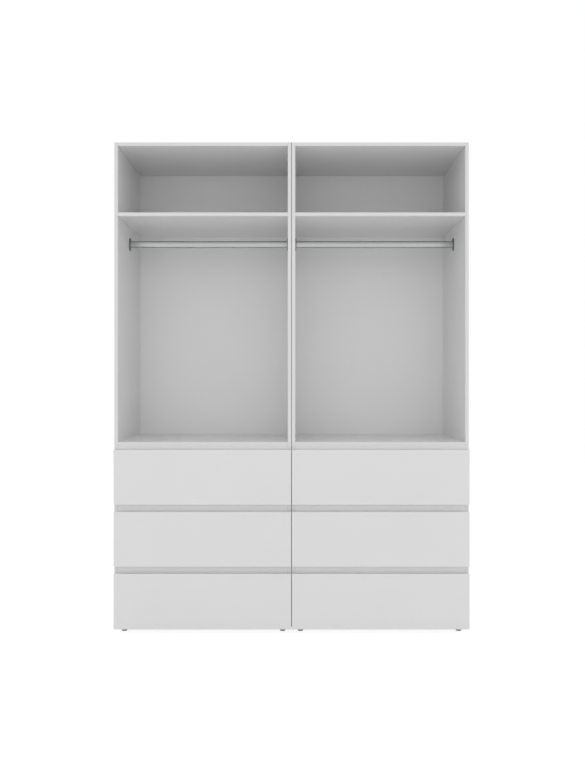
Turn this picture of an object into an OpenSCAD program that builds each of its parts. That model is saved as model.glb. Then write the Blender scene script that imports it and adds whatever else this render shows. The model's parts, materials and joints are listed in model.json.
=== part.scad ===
// Open wardrobe made of two equal modules that stand side by side. Each module has a compartment
// above its shelf, a hanging compartment with an oval rail, and three drawers without handles.
// X runs to the right, the drawer fronts face -Y and Z is up. The origin lies on the floor under
// the middle of the wardrobe. All sizes are in millimetres.

/* [Modules] */
// Width of one module
module_w = 751; // [520:1:1000]
// Gap between the two modules
module_gap = 2; // [1:0.5:10]
// Depth of a module without its drawer fronts
cabinet_d = 560; // [545:1:700]
// Height of the top over the floor
total_h = 2080; // [1800:1:2400]
// Height of a module's underside over the floor
underside_h = 24; // [20:1:60]

/* [Boards] */
// Thickness of the sides, the level panels and the front rails
board_t = 15; // [14:0.5:19]
// Thickness of the back panels
back_t = 3; // [2.5:0.5:6]
// Distance from the rear edge of the sides to the back panel
back_inset = 24; // [15:1:40]
// Depth of the grooves that hold the back panel
groove_d = 8; // [4:0.5:10]
// Play of a panel in its groove, on each side of it
groove_play = 0.2; // [0.1:0.05:0.4]
// Height of each front rail
front_rail_h = 60; // [50:1:75]
// Clear height of the compartment above the shelf
upper_h = 282; // [180:1:450]

/* [Drawer fronts] */
// Thickness of a drawer front
front_t = 16; // [14:0.5:22]
// Height of the upper and the middle drawer front
front_h = 232; // [222:1:280]
// Height of the lowest drawer front
low_front_h = 235; // [215:1:280]
// Height of the gap in which fingers reach over a drawer front
grip_gap = 29.5; // [20:0.5:45]
// Height of the deck's top over the upper drawer front
deck_reveal = 31.5; // [24:0.5:50]
// Distance from a front's end to the outer face of its module
front_reveal = 0.25; // [0.25:0.25:3]
// How far the lowest front hangs below its module
front_drop = 5; // [0:0.5:8]
// Depth of the slope at the back of a front's top edge, for the fingers
grip_slope_d = 11; // [6:0.5:12]
// Height of the slope at the back of a front's top edge
grip_slope_h = 22; // [12:1:35]

/* [Buffers] */
// Thickness of the buffers that keep the fronts off the cabinet
buffer_t = 2; // [1:0.5:4]
// Diameter of a buffer
buffer_d = 8; // [6:0.5:12]
// Distance from a buffer to the upper or lower edge of its front
buffer_inset = 45; // [40:1:90]

/* [Drawer boxes] */
// Thickness of a drawer box's sides and back
box_t = 12; // [11.5:0.5:16]
// Height of a drawer box
box_h = 145; // [125:1:155]
// Length of a drawer box behind its front
box_len = 500; // [495:1:515]
// Height of a box's lower edge over the lower edge of its front
box_lift = 28; // [25:1:38]
// Thickness of a drawer bottom
bottom_t = 3; // [2.5:0.5:6]
// Height of a drawer bottom over the lower edge of its box
bottom_up = 10; // [6:0.5:14]
// Depth of the grooves that hold a drawer bottom
bottom_groove_d = 6; // [3:0.5:7]
// Gap in the joints that hold the pieces of one drawer together
joint_gap = 0.1; // [0.05:0.05:0.3]

/* [Runners] */
// Width of the space for a runner beside a drawer box
runner_space = 13; // [12.5:0.1:16]
// Height of a runner
runner_h = 45; // [40:1:50]
// Length of a runner
runner_len = 490; // [350:1:494]
// Distance from the cabinet's front edge to a runner
runner_setback = 3; // [1:0.5:8]
// Height of a runner's middle over the lower edge of its box
runner_up = 45; // [40:1:60]
// Thickness of the runners' steel
steel_t = 1.2; // [1:0.1:1.4]
// Running clearance between the members of a runner
runner_play = 0.35; // [0.3:0.05:0.5]
// Depth of the channel that is fixed to the cabinet
channel_d = 10.2; // [10:0.1:11]
// Width of the lips on the fixed channel
channel_lip = 2.75; // [2:0.05:3.5]
// Width of the lips on the drawer's member
drawer_lip = 3.4; // [2.5:0.1:4.5]
// Clearance between the middle member and the screw heads behind it
head_gap = 0.5; // [0.3:0.1:0.8]
// Distance from the ends of a runner to its screws
runner_screw_inset = 40; // [35:1:120]

/* [Hanging rail] */
// Height of the oval rail
rail_h = 30; // [25:0.5:40]
// Thickness of the oval rail
rail_w = 15; // [12:0.5:22]
// Wall of the rail's tube
rail_wall = 1; // [0.8:0.1:2]
// Distance from the shelf down to the middle of the rail
rail_drop = 79; // [50:1:150]
// Distance from the cabinet's front edge back to the middle of the rail
rail_back = 266; // [200:1:350]
// Play of the rail on the plugs of its sockets, on each side, and at its ends
rail_play = 0.3; // [0.1:0.05:0.5]
// Thickness of a socket's plate
socket_plate_t = 5; // [2.5:0.5:8]
// Length of the plug that holds the rail from inside
plug_l = 12; // [6:0.5:20]
// Width of the plate beside the rail
socket_rim = 5.5; // [2:0.1:10]
// Height of the plate between the rail and a screw head
socket_gap = 4.5; // [2:0.1:8]
// Width of the plate around a screw head
socket_edge = 1.6; // [1:0.1:4]

/* [Feet] */
// Distance from a foot's middle to its module's side and to the base's front or rear edge
foot_inset = 37; // [30:1:48]
// Diameter of a foot
foot_d = 24; // [20:1:50]
// Height of a foot's pad
foot_pad_h = 10; // [6:0.5:14]
// Width of the round on a pad's lower edge
foot_round = 1.5; // [0.5:0.5:3]
// Diameter of the neck by which a foot is turned
foot_neck_d = 18; // [14:0.5:21]
// Diameter of a foot's threaded stem
stem_d = 8; // [6:0.5:9]
// Distance from the stem's tip to the top of the base
stem_tip_gap = 1; // [0.5:0.5:4]
// Diameter of the sleeve that is let into the base
sleeve_d = 12; // [11:0.5:16]
// Diameter of the sleeve's flange
flange_d = 22; // [19:0.5:26]
// Thickness of the sleeve's flange
flange_t = 2; // [1.5:0.5:4]

/* [Cam fittings] */
// Diameter of a cam
cam_d = 15; // [13:0.5:18]
// Height of a cam in the cabinet's boards
cam_h = 12.4; // [12:0.1:13.5]
// Height of a cam in the thinner boards of a drawer box
box_cam_h = 10; // [9.8:0.1:10.5]
// Distance from a board's end to the middle of a cam
cam_back = 34; // [24:0.5:40]
// Diameter of a cam bolt's shaft
bolt_d = 5; // [4:0.5:6]
// Diameter of a cam bolt's head
bolt_head_d = 7; // [6.5:0.1:7.2]
// Length of a cam bolt's head
bolt_head_l = 3; // [2:0.5:4]
// Diameter of the hole for a cam bolt in a board's end
bolt_hole_d = 8; // [7.5:0.1:9]
// Diameter of a cam bolt's threaded end
anchor_d = 6; // [5:0.5:8]
// Length of a cam bolt's threaded end
anchor_l = 11; // [8:0.5:12]
// Width of the cross in a cam's face
cross_w = 1.4; // [1:0.1:2]
// Length of the cross in a cam's face
cross_l = 8; // [6:0.5:10]
// Depth of the cross in a cam's face
cross_d = 2; // [1:0.1:2.5]
// Distance from the front and rear edge of a level panel to its cam fittings
fitting_inset = 75; // [65:1:120]
// Distance between the cam fitting and the dowel in a front rail's end
fitting_pitch = 32; // [24:1:40]
// Distance from the lower and upper edge of a drawer box to its cam fittings
box_cam_inset = 30; // [28:1:45]

/* [Dowels and screws] */
// Diameter of a dowel
dowel_d = 8; // [6:0.5:10]
// Length of a dowel
dowel_l = 30; // [25:1:40]
// How far a dowel goes into a side
dowel_in_side = 10; // [8:0.5:12]
// Diameter of a screw
screw_d = 3.5; // [3:0.1:4.5]
// Length of a screw in the cabinet
screw_l = 14; // [10:0.5:15]
// Length of a screw that holds a runner to a drawer box
box_screw_l = 10; // [7:0.5:11]
// Length of a screw that goes through a box side into the back of the box
back_screw_l = 32; // [25:1:45]
// Diameter of a screw head
screw_head_d = 7; // [6:0.1:8]
// Height of a screw head
screw_head_h = 1.6; // [1.2:0.1:1.8]
// Distance between the screws that hold a back panel to the base
back_screw_pitch = 200; // [80:1:210]
// Distance from the upper edge of a drawer box to the upper screw of its back
back_screw_inset = 20; // [12:1:30]
// Play of dowels, cams, bolts and screws in their holes, on each side of them
fit_play = 0.1; // [0.05:0.01:0.15]

/* [Module connectors] */
// Diameter of the sleeve nut that joins the two modules
connector_d = 8; // [7:0.5:10]
// Diameter of the bolt inside the sleeve nut
connector_bolt_d = 5; // [4:0.5:6]
// Diameter of a connector's heads
connector_head_d = 14; // [12:0.5:20]
// Height of a connector's heads
connector_head_h = 1.8; // [1:0.1:3]
// Distance from the front edge and from the back panel to the connectors
connector_inset = 95; // [70:1:200]
// Distance from the top panel down to the upper connectors
connector_drop = 60; // [20:1:150]
// Distance from the upper face of the middle drawer's box up to the lower connectors
connector_rise = 21; // [9:1:30]

/* [Gap strips] */
// Width of the strips that close the gap between the modules
strip_w = 15; // [8:1:40]
// Distance from the front or rear edges of the sides to a strip
strip_inset = 5; // [1:0.5:10]

/* [Wall brackets] */
// Width of a wall bracket
bracket_w = 40; // [34:1:100]
// Thickness of a wall bracket
bracket_t = 2; // [1.5:0.5:3]
// Depth of the leg that lies on the top panel
bracket_foot = 30; // [22:1:60]
// Height of the leg that stands against the wall
bracket_rise = 28; // [20:1:60]
// Diameter of the hole for the wall screw
wall_hole_d = 6; // [4:0.5:10]
// Distance between the two screws that hold a bracket
bracket_pitch = 24; // [16:1:25]
// Distance from the rear edge to the screws that hold a bracket
bracket_screw_inset = 10; // [7:0.5:12]

/* [Hidden] */
$fn = 48;
// How far a cut runs past the face that it opens
over = 1;

// Planes and spaces that several pieces share
inner_w = module_w - 2 * board_t;
total_d = cabinet_d + buffer_t + front_t;
rear_y = total_d / 2;
front_edge_y = rear_y - cabinet_d;
back_y = rear_y - back_inset - back_t;
front_face_y = -total_d / 2;
front_back_y = front_face_y + front_t;
panel_d = back_y - front_edge_y;

// Lower edges of the three drawer fronts, from the top one down
low_front_z = underside_h - front_drop;
middle_front_z = low_front_z + low_front_h + grip_gap;
top_front_z = middle_front_z + front_h + grip_gap;
front_z = [top_front_z, middle_front_z, low_front_z];
front_heights = [front_h, front_h, low_front_h];

// Undersides of the level panels
deck_z = top_front_z + front_h + deck_reveal - board_t;
top_z = total_h - board_t;
shelf_z = top_z - upper_h - board_t;
base_z = underside_h;

// Undersides of the three front rails: one under the deck and one behind each gap below it
front_rail_z = [
    deck_z - front_rail_h,
    top_front_z - grip_gap / 2 - front_rail_h / 2,
    middle_front_z - grip_gap / 2 - front_rail_h / 2
];
front_rail_y = front_edge_y + board_t / 2;

// Turns that bring a cam's face up, down or to the rear
face_up = 0;
face_down = 180;
face_rear = -90;

// Drawer box and runner
box_w = inner_w - 2 * runner_space;
box_back_y = front_back_y + box_len;
runner_y = front_edge_y + runner_setback;
runner_screw_y = [runner_y + runner_screw_inset, runner_y + runner_len - runner_screw_inset];
middle_u = steel_t + screw_head_h + head_gap;
middle_half = runner_h / 2 - steel_t - runner_play;
drawer_lip_u = middle_u + steel_t + runner_play;
drawer_lip_half = middle_half - steel_t - runner_play;
neck_half = drawer_lip_half - drawer_lip;

// Hanging rail and its sockets
rail_z = shelf_z - rail_drop;
rail_y = front_edge_y + rail_back;
socket_screw_z = rail_h / 2 + socket_gap + screw_head_d / 2;
socket_h = 2 * (socket_screw_z + screw_head_d / 2 + socket_edge);
socket_w = rail_w + 2 * socket_rim;
rail_len = inner_w - 2 * (socket_plate_t + rail_play);

// Feet
foot_x = module_w / 2 - foot_inset;
front_foot_y = front_edge_y + foot_inset;
rear_foot_y = back_y - foot_inset;

// Connectors between the modules
connector_y = [front_edge_y + connector_inset, back_y - connector_inset];
connector_z = [top_z - connector_drop, middle_front_z + box_lift + box_h + connector_rise];
connector_reach = module_gap / 2 + board_t;

// Names of the pieces
sides = ["left", "right"];
heights = ["upper", "middle", "lower"];
corners = ["front_outer", "front_inner", "rear_outer", "rear_inner"];
board_nodes = [
    "outer_side", "inner_side", "top_panel", "shelf", "deck", "base_panel",
    "back_panel", "hanging_rail"
];
drawer_nodes = ["drawer_front", "drawer_box", "drawer_fittings", "intermediate_runners"];
shared_nodes = [
    "front_rails", "rail_sockets", "cabinet_runners", "foot_sleeves", "cam_locks", "cam_bolts",
    "dowels", "wood_screws", "module_connectors", "gap_strips", "wall_brackets", "front_buffers"
];

white = "#f4f4f2";
back_white = "#ececea";
box_white = "#e6e6e4";
chrome = "#c8ccd0";
steel = "#b4b8bc";
zinc = "#a8abae";
beech = "#d8b98a";
dark_grey = "#6a6c6e";
clear_grey = "#c4c8ca";
felt_grey = "#4a4b4d";

// Where a module stands: side is 0 for the left module and 1 for the right one
function hand(side) = side == 0 ? -1 : 1;
function module_x(side) = hand(side) * (module_w + module_gap) / 2;

module at_module(side) {
    translate([module_x(side), 0, 0]) children();
}

// The left end of what lies between the two sides of a module, or its mirror image at the right
module at_end(end) {
    mirror([end > 0 ? 1 : 0, 0, 0]) translate([-inner_w / 2, 0, 0]) children();
}

module both_ends() {
    at_end(-1) children();
    at_end(1) children();
}

// A panel between the sides of a module
module inner_board(y, depth, z, height) {
    translate([-inner_w / 2, y, z]) cube([inner_w, depth, height]);
}

// Places of the fittings

// Places in a level panel's end: [y, z, turn of the cam's face]
function panel_cams(z, turn) = [
    for (y = [front_edge_y + fitting_inset, back_y - fitting_inset]) [y, z + board_t / 2, turn]
];
function rail_cams(z) = [[front_rail_y, z + (front_rail_h + fitting_pitch) / 2, face_rear]];
function panel_dowels(z) = [[front_edge_y + panel_d / 2, z + board_t / 2]];
function rail_dowels(z) = [[front_rail_y, z + (front_rail_h - fitting_pitch) / 2]];

cabinet_cams = concat(
    panel_cams(top_z, face_up),
    panel_cams(shelf_z, face_up),
    panel_cams(deck_z, face_down),
    panel_cams(base_z, face_down),
    [for (z = front_rail_z) rail_cams(z)[0]]
);
cabinet_dowels = concat(
    [for (z = [top_z, shelf_z, deck_z, base_z]) panel_dowels(z)[0]],
    [for (z = front_rail_z) rail_dowels(z)[0]]
);

// Height of the runner beside the drawer at a level, counted from the top
function runner_z(level) = front_z[level] + box_lift + runner_up;

// Fittings: a bolt or dowel runs along +X into a board whose end is at x = 0

module bolt_anchor_cut() {
    translate([-anchor_l - fit_play, 0, 0]) rotate([0, 90, 0])
        cylinder(d = anchor_d + 2 * fit_play, h = anchor_l + fit_play + over);
}

module cam_cut(height, half_t) {
    translate([cam_back, 0, half_t - height - fit_play])
        cylinder(d = cam_d + 2 * fit_play, h = height + fit_play + over);
    translate([-over, 0, 0]) rotate([0, 90, 0])
        cylinder(d = bolt_hole_d, h = cam_back + over);
}

module cam_lock(height, half_t) {
    pocket_l = cam_d / 2 + over + bolt_head_l / 2 + fit_play;
    translate([cam_back, 0, half_t - height]) difference() {
        cylinder(d = cam_d, h = height);
        translate([-cam_d / 2 - over, 0, height - half_t]) rotate([0, 90, 0])
            cylinder(d = bolt_head_d + 2 * fit_play, h = pocket_l);
        for (turn = [45, 135])
            translate([0, 0, height]) rotate([0, 0, turn])
                cube([cross_l, cross_w, 2 * cross_d], center = true);
    }
}

module cam_bolt() {
    head_x = cam_back - bolt_head_l / 2;
    rotate([0, 90, 0]) rotate_extrude() polygon([
        [0, -anchor_l],
        [anchor_d / 2, -anchor_l],
        [anchor_d / 2, 0],
        [bolt_d / 2, 0],
        [bolt_d / 2, head_x],
        [bolt_head_d / 2, head_x],
        [bolt_head_d / 2, head_x + bolt_head_l],
        [0, head_x + bolt_head_l]
    ]);
}

module dowel_cut() {
    translate([-dowel_in_side - fit_play, 0, 0]) rotate([0, 90, 0])
        cylinder(d = dowel_d + 2 * fit_play, h = dowel_l + 2 * fit_play);
}

module dowel() {
    translate([-dowel_in_side, 0, 0]) rotate([0, 90, 0]) cylinder(d = dowel_d, h = dowel_l);
}

// A screw enters the face z = 0 from above, and its head lies on that face
module screw(length) {
    rotate_extrude() polygon([
        [0, -length],
        [screw_d / 2, -length + screw_d / 2],
        [screw_d / 2, 0],
        [screw_head_d / 2, 0],
        [screw_head_d / 2, screw_head_h],
        [0, screw_head_h]
    ]);
}

module screw_cut(length) {
    translate([0, 0, -length - fit_play])
        cylinder(d = screw_d + 2 * fit_play, h = length + fit_play + over);
}

module screw_head_cut() {
    translate([0, 0, -fit_play])
        cylinder(d = screw_head_d + 2 * fit_play, h = screw_head_h + fit_play + over);
}

module at_cams(cams) {
    for (c = cams) translate([0, c[0], c[1]]) rotate([c[2], 0, 0]) children();
}

module at_dowels(dowels) {
    for (d = dowels) translate([0, d[0], d[1]]) children();
}

// Cuts in both ends of a board between the sides
module end_cuts(cams, dowels) {
    both_ends() {
        at_cams(cams) cam_cut(cam_h, board_t / 2);
        at_dowels(dowels) dowel_cut();
    }
}

// Screws that turn into the left side from inside its module

module at_runner_screws(levels) {
    for (level = levels, y = runner_screw_y)
        translate([steel_t, y, runner_z(level)]) rotate([0, 90, 0]) children();
}

module at_socket_screws() {
    for (z = [-socket_screw_z, socket_screw_z])
        translate([socket_plate_t - screw_head_h, rail_y, rail_z + z])
            rotate([0, 90, 0]) children();
}

module at_connectors() {
    for (y = connector_y, z = connector_z) translate([0, y, z]) rotate([0, 90, 0]) children();
}

// Cabinet boards

module side_panel(side, end) {
    color(white) difference() {
        at_module(side) at_end(end) difference() {
            translate([-board_t, front_edge_y, underside_h])
                cube([board_t, cabinet_d, total_h - underside_h]);
            translate([-groove_d, back_y - groove_play, underside_h - over])
                cube([groove_d + over, back_t + 2 * groove_play, total_h + 2 * over]);
            at_cams(cabinet_cams) bolt_anchor_cut();
            at_dowels(cabinet_dowels) dowel_cut();
            at_runner_screws([0, 1, 2]) screw_cut(screw_l);
            at_socket_screws() screw_cut(screw_l);
        }
        if (end != hand(side))
            at_connectors()
                cylinder(d = connector_d + 2 * fit_play, h = 2 * connector_reach + over, center = true);
    }
}

module top_panel(side) {
    color(white) difference() {
        at_module(side) difference() {
            inner_board(front_edge_y, cabinet_d, top_z, board_t);
            end_cuts(panel_cams(top_z, face_up), panel_dowels(top_z));
            translate([-inner_w / 2 - over, back_y - groove_play, top_z - over])
                cube([inner_w + 2 * over, back_t + 2 * groove_play, groove_d + over]);
        }
        at_bracket_screws(side) screw_cut(screw_l);
    }
}

module shelf(side) {
    color(white) at_module(side) difference() {
        inner_board(front_edge_y, panel_d, shelf_z, board_t);
        end_cuts(panel_cams(shelf_z, face_up), panel_dowels(shelf_z));
    }
}

module deck(side) {
    color(white) at_module(side) difference() {
        inner_board(front_edge_y, panel_d, deck_z, board_t);
        end_cuts(panel_cams(deck_z, face_down), panel_dowels(deck_z));
    }
}

module base_panel(side) {
    color(white) difference() {
        at_module(side) difference() {
            inner_board(front_edge_y, panel_d, base_z, board_t);
            end_cuts(panel_cams(base_z, face_down), panel_dowels(base_z));
            at_back_screws() screw_cut(screw_l);
        }
        for (corner = [0:3])
            translate([corner_x(side, corner), corner_y(corner), base_z - over])
                cylinder(d = sleeve_d + 2 * fit_play, h = board_t + 2 * over);
    }
}

module back_panel(side) {
    in_groove = groove_d - groove_play;
    color(back_white) at_module(side) difference() {
        translate([-inner_w / 2 - in_groove, back_y, underside_h])
            cube([inner_w + 2 * in_groove, back_t, top_z + in_groove - underside_h]);
        at_back_screws() screw_cut(screw_l);
    }
}

// The screws go through the back panel into the rear edge of the base
module at_back_screws() {
    for (x = [-back_screw_pitch, 0, back_screw_pitch])
        translate([x, back_y + back_t, base_z + board_t / 2]) rotate([-90, 0, 0]) children();
}

module front_rails() {
    color(white) for (side = [0, 1], z = front_rail_z) at_module(side)
        difference() {
            inner_board(front_edge_y, board_t, z, front_rail_h);
            end_cuts(rail_cams(z), rail_dowels(z));
        }
}

// Hanging rail

// An upright oval with half-round ends
module oval(height, width) {
    square([width, height - width], center = true);
    for (y = [-1, 1]) translate([0, y * (height - width) / 2]) circle(d = width);
}

// Draws along +X what is flat in Y and Z
module along_x(length) {
    rotate([90, 0, 90]) linear_extrude(height = length) children();
}

module hanging_rail(side) {
    color(chrome) at_module(side) translate([-rail_len / 2, rail_y, rail_z]) along_x(rail_len)
        difference() {
            oval(rail_h, rail_w);
            oval(rail_h - 2 * rail_wall, rail_w - 2 * rail_wall);
        }
}

// A plate on the side, with a plug that goes into the rail
module rail_socket() {
    shrink = 2 * (rail_wall + rail_play);
    difference() {
        translate([0, rail_y, rail_z]) {
            along_x(socket_plate_t) oval(socket_h, socket_w);
            along_x(socket_plate_t + plug_l) oval(rail_h - shrink, rail_w - shrink);
        }
        at_socket_screws() {
            screw_cut(screw_l);
            screw_head_cut();
        }
    }
}

module rail_sockets() {
    color(steel) for (side = [0, 1]) at_module(side) both_ends() rail_socket();
}

// Feet: corners are counted from the front outer one to the rear inner one

function corner_x(side, corner) = module_x(side) + hand(side) * (corner % 2 == 0 ? foot_x : -foot_x);
function corner_y(corner) = corner < 2 ? front_foot_y : rear_foot_y;

module foot(side, corner) {
    neck_top = underside_h - flange_t;
    stem_top = underside_h + board_t - stem_tip_gap;
    color(dark_grey) translate([corner_x(side, corner), corner_y(corner), 0])
        rotate_extrude() polygon([
            [0, 0],
            [foot_d / 2 - foot_round, 0],
            [foot_d / 2, foot_round],
            [foot_d / 2, foot_pad_h],
            [foot_neck_d / 2, foot_pad_h],
            [foot_neck_d / 2, neck_top],
            [stem_d / 2, neck_top],
            [stem_d / 2, stem_top],
            [0, stem_top]
        ]);
}

module foot_sleeves() {
    bore = stem_d / 2 + fit_play;
    color(zinc) for (side = [0, 1], corner = [0:3])
        translate([corner_x(side, corner), corner_y(corner), underside_h])
            rotate_extrude() polygon([
                [bore, -flange_t],
                [flange_d / 2, -flange_t],
                [flange_d / 2, 0],
                [sleeve_d / 2, 0],
                [sleeve_d / 2, board_t],
                [bore, board_t]
            ]);
}

// Runners: u is the distance from the cabinet's side and w the height over the runner's middle

// A channel that is open away from the side, with lips that turn inwards
module channel(u0, u1, half, lip) {
    polygon([
        [u0, -half],
        [u1, -half],
        [u1, lip - half],
        [u1 - steel_t, lip - half],
        [u1 - steel_t, steel_t - half],
        [u0 + steel_t, steel_t - half],
        [u0 + steel_t, half - steel_t],
        [u1 - steel_t, half - steel_t],
        [u1 - steel_t, half - lip],
        [u1, half - lip],
        [u1, half],
        [u0, half]
    ]);
}

// The member on the drawer, open towards the side, with lips that turn outwards
module drawer_member() {
    polygon([
        [runner_space, -neck_half],
        [runner_space, neck_half],
        [drawer_lip_u + steel_t, neck_half],
        [drawer_lip_u + steel_t, drawer_lip_half],
        [drawer_lip_u, drawer_lip_half],
        [drawer_lip_u, neck_half - steel_t],
        [runner_space - steel_t, neck_half - steel_t],
        [runner_space - steel_t, steel_t - neck_half],
        [drawer_lip_u, steel_t - neck_half],
        [drawer_lip_u, -drawer_lip_half],
        [drawer_lip_u + steel_t, -drawer_lip_half],
        [drawer_lip_u + steel_t, -neck_half]
    ]);
}

module along_runner(level) {
    translate([0, runner_y + runner_len, runner_z(level)]) rotate([90, 0, 0])
        linear_extrude(height = runner_len) children();
}

module cabinet_runners() {
    color(steel) for (side = [0, 1], level = [0:2]) at_module(side) both_ends()
        difference() {
            along_runner(level) channel(0, channel_d, runner_h / 2, channel_lip);
            at_runner_screws([level]) screw_cut(screw_l);
        }
}

module intermediate_runners(side, level) {
    color(steel) at_module(side) both_ends() along_runner(level)
        channel(
            middle_u, channel_d - steel_t - runner_play,
            middle_half, middle_half - neck_half - runner_play
        );
}

// Drawers

module drawer_front(side, level) {
    height = front_heights[level];
    groove_w = box_w - 2 * box_t + 2 * bottom_groove_d;
    color(white) at_module(side) translate([0, 0, front_z[level]]) difference() {
        translate([front_reveal - module_w / 2, 0, 0]) along_x(module_w - 2 * front_reveal)
            polygon([
                [front_face_y, 0],
                [front_back_y, 0],
                [front_back_y, height - grip_slope_h],
                [front_back_y - grip_slope_d, height],
                [front_face_y, height]
            ]);
        translate([-groove_w / 2, front_back_y - bottom_groove_d, box_lift + bottom_up - groove_play])
            cube([groove_w, bottom_groove_d + over, bottom_t + 2 * groove_play]);
        both_box_sides() at_front_fittings() bolt_anchor_cut();
    }
}

// Places on a drawer box are counted from the lower edge of its front

module both_box_sides() {
    for (end = [0, 1])
        mirror([end, 0, 0]) translate([-box_w / 2, 0, 0]) children();
}

// Cam fittings that join a side of the box to the front: their cams face into the box
module at_front_fittings() {
    for (z = [box_lift + box_cam_inset, box_lift + box_h - box_cam_inset])
        translate([box_t / 2, front_back_y, z]) rotate([90, 0, 90]) children();
}

// Screws that go through a side of the box into the back of the box, with sunk heads
module at_box_back_screws() {
    for (z = [runner_up + runner_h / 2 + screw_head_d, box_h - back_screw_inset])
        translate([screw_head_h, box_back_y - box_t / 2, box_lift + z])
            rotate([0, -90, 0]) children();
}

// Screws that hold the drawer's member of a runner to a side of the box
module at_member_screws() {
    for (y = runner_screw_y)
        translate([-steel_t - joint_gap, y, box_lift + runner_up]) rotate([0, -90, 0]) children();
}

module box_side() {
    difference() {
        translate([0, front_back_y, box_lift]) cube([box_t, box_len, box_h]);
        translate([box_t - bottom_groove_d, front_back_y - over, box_lift + bottom_up - groove_play])
            cube([bottom_groove_d + over, box_len + 2 * over, bottom_t + 2 * groove_play]);
        at_front_fittings() cam_cut(box_cam_h, box_t / 2);
        at_box_back_screws() {
            screw_cut(back_screw_l);
            screw_head_cut();
        }
        at_member_screws() screw_cut(box_screw_l);
    }
}

module box_back() {
    back_low = box_lift + bottom_up + bottom_t + groove_play;
    width = box_w - 2 * (box_t + joint_gap);
    difference() {
        translate([-width / 2, box_back_y - box_t, back_low])
            cube([width, box_t, box_lift + box_h - back_low]);
        both_box_sides() at_box_back_screws() screw_cut(back_screw_l);
    }
}

module box_bottom() {
    in_groove = bottom_groove_d - groove_play;
    width = box_w - 2 * box_t + 2 * in_groove;
    translate([-width / 2, front_back_y - in_groove, box_lift + bottom_up])
        cube([width, box_len + in_groove, bottom_t]);
}

module drawer_box(side, level) {
    color(box_white) at_module(side) translate([0, 0, front_z[level]]) {
        both_box_sides() box_side();
        box_back();
        box_bottom();
    }
}

module drawer_fittings(side, level) {
    color(zinc) at_module(side) {
        both_ends() difference() {
            along_runner(level) drawer_member();
            translate([runner_space, 0, front_z[level]]) at_member_screws() screw_cut(box_screw_l);
        }
        translate([0, 0, front_z[level]]) both_box_sides() {
            at_member_screws() screw(box_screw_l);
            at_box_back_screws() screw(back_screw_l);
            at_front_fittings() {
                cam_lock(box_cam_h, box_t / 2);
                cam_bolt();
            }
        }
    }
}

// Fasteners of the cabinet

module cam_locks() {
    color(zinc) for (side = [0, 1]) at_module(side) both_ends()
        at_cams(cabinet_cams) cam_lock(cam_h, board_t / 2);
}

module cam_bolts() {
    color(zinc) for (side = [0, 1]) at_module(side) both_ends()
        at_cams(cabinet_cams) cam_bolt();
}

module dowels() {
    color(beech) for (side = [0, 1]) at_module(side) both_ends()
        at_dowels(cabinet_dowels) dowel();
}

module wood_screws() {
    color(zinc) for (side = [0, 1]) {
        at_module(side) {
            both_ends() {
                at_runner_screws([0, 1, 2]) screw(screw_l);
                at_socket_screws() screw(screw_l);
            }
            at_back_screws() screw(screw_l);
        }
        at_bracket_screws(side) screw(screw_l);
    }
}

// Each connector is a bolt and its sleeve nut, around one axis
module module_connectors() {
    nut_tip = connector_reach - board_t / 2;
    color(zinc) at_connectors() {
        rotate_extrude() polygon([
            [0, -connector_reach - connector_head_h],
            [connector_head_d / 2, -connector_reach - connector_head_h],
            [connector_head_d / 2, -connector_reach],
            [connector_bolt_d / 2, -connector_reach],
            [connector_bolt_d / 2, nut_tip],
            [0, nut_tip]
        ]);
        rotate_extrude() polygon([
            [connector_bolt_d / 2 + fit_play, -nut_tip],
            [connector_d / 2, -nut_tip],
            [connector_d / 2, connector_reach],
            [connector_head_d / 2, connector_reach],
            [connector_head_d / 2, connector_reach + connector_head_h],
            [connector_bolt_d / 2 + fit_play, connector_reach + connector_head_h]
        ]);
    }
}

// Upright strips that fill the gap between the modules near its front and its rear
module gap_strips() {
    color(felt_grey) for (y = [front_edge_y + strip_inset, rear_y - strip_inset - strip_w])
        translate([-module_gap / 2, y, underside_h])
            cube([module_gap, strip_w, total_h - underside_h]);
}

module at_bracket_screws(side) {
    for (x = [-bracket_pitch / 2, bracket_pitch / 2])
        translate([module_x(side) + x, rear_y - bracket_screw_inset, total_h + bracket_t]) children();
}

module wall_brackets() {
    color(steel) for (side = [0, 1]) difference() {
        translate([module_x(side) - bracket_w / 2, rear_y, total_h]) {
            translate([0, -bracket_foot, 0]) cube([bracket_w, bracket_foot, bracket_t]);
            translate([0, -bracket_t, 0]) cube([bracket_w, bracket_t, bracket_rise]);
        }
        at_bracket_screws(side) screw_cut(screw_l);
        translate([module_x(side), rear_y + over, total_h + (bracket_rise + bracket_t) / 2])
            rotate([90, 0, 0]) cylinder(d = wall_hole_d, h = bracket_t + 2 * over);
    }
}

module front_buffers() {
    color(clear_grey) for (side = [0, 1], level = [0:2]) at_module(side) both_ends()
        for (z = [buffer_inset, front_heights[level] - buffer_inset])
            translate([-board_t / 2, front_edge_y, front_z[level] + z]) rotate([90, 0, 0])
                cylinder(d = buffer_d, h = buffer_t);
}

for (s = [0, 1]) {
    side_panel(s, hand(s));
    side_panel(s, -hand(s));
    top_panel(s);
    shelf(s);
    deck(s);
    base_panel(s);
    back_panel(s);
    hanging_rail(s);
    for (c = [0:3])
        foot(s, c);
    for (h = [0:2]) {
        drawer = str(sides[s], "_", heights[h]);
        drawer_front(s, h);
        drawer_box(s, h);
        drawer_fittings(s, h);
        intermediate_runners(s, h);
    }
}
front_rails();
rail_sockets();
cabinet_runners();
foot_sleeves();
cam_locks();
cam_bolts();
dowels();
wood_screws();
module_connectors();
gap_strips();
wall_brackets();
front_buffers();
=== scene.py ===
# Looks of the open wardrobe: white boards, drawers, metal fittings, a pale studio and the camera.
# Every size is in metres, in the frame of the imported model.
import json
import math

import bmesh
import bpy
from mathutils import Matrix, Vector

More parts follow.
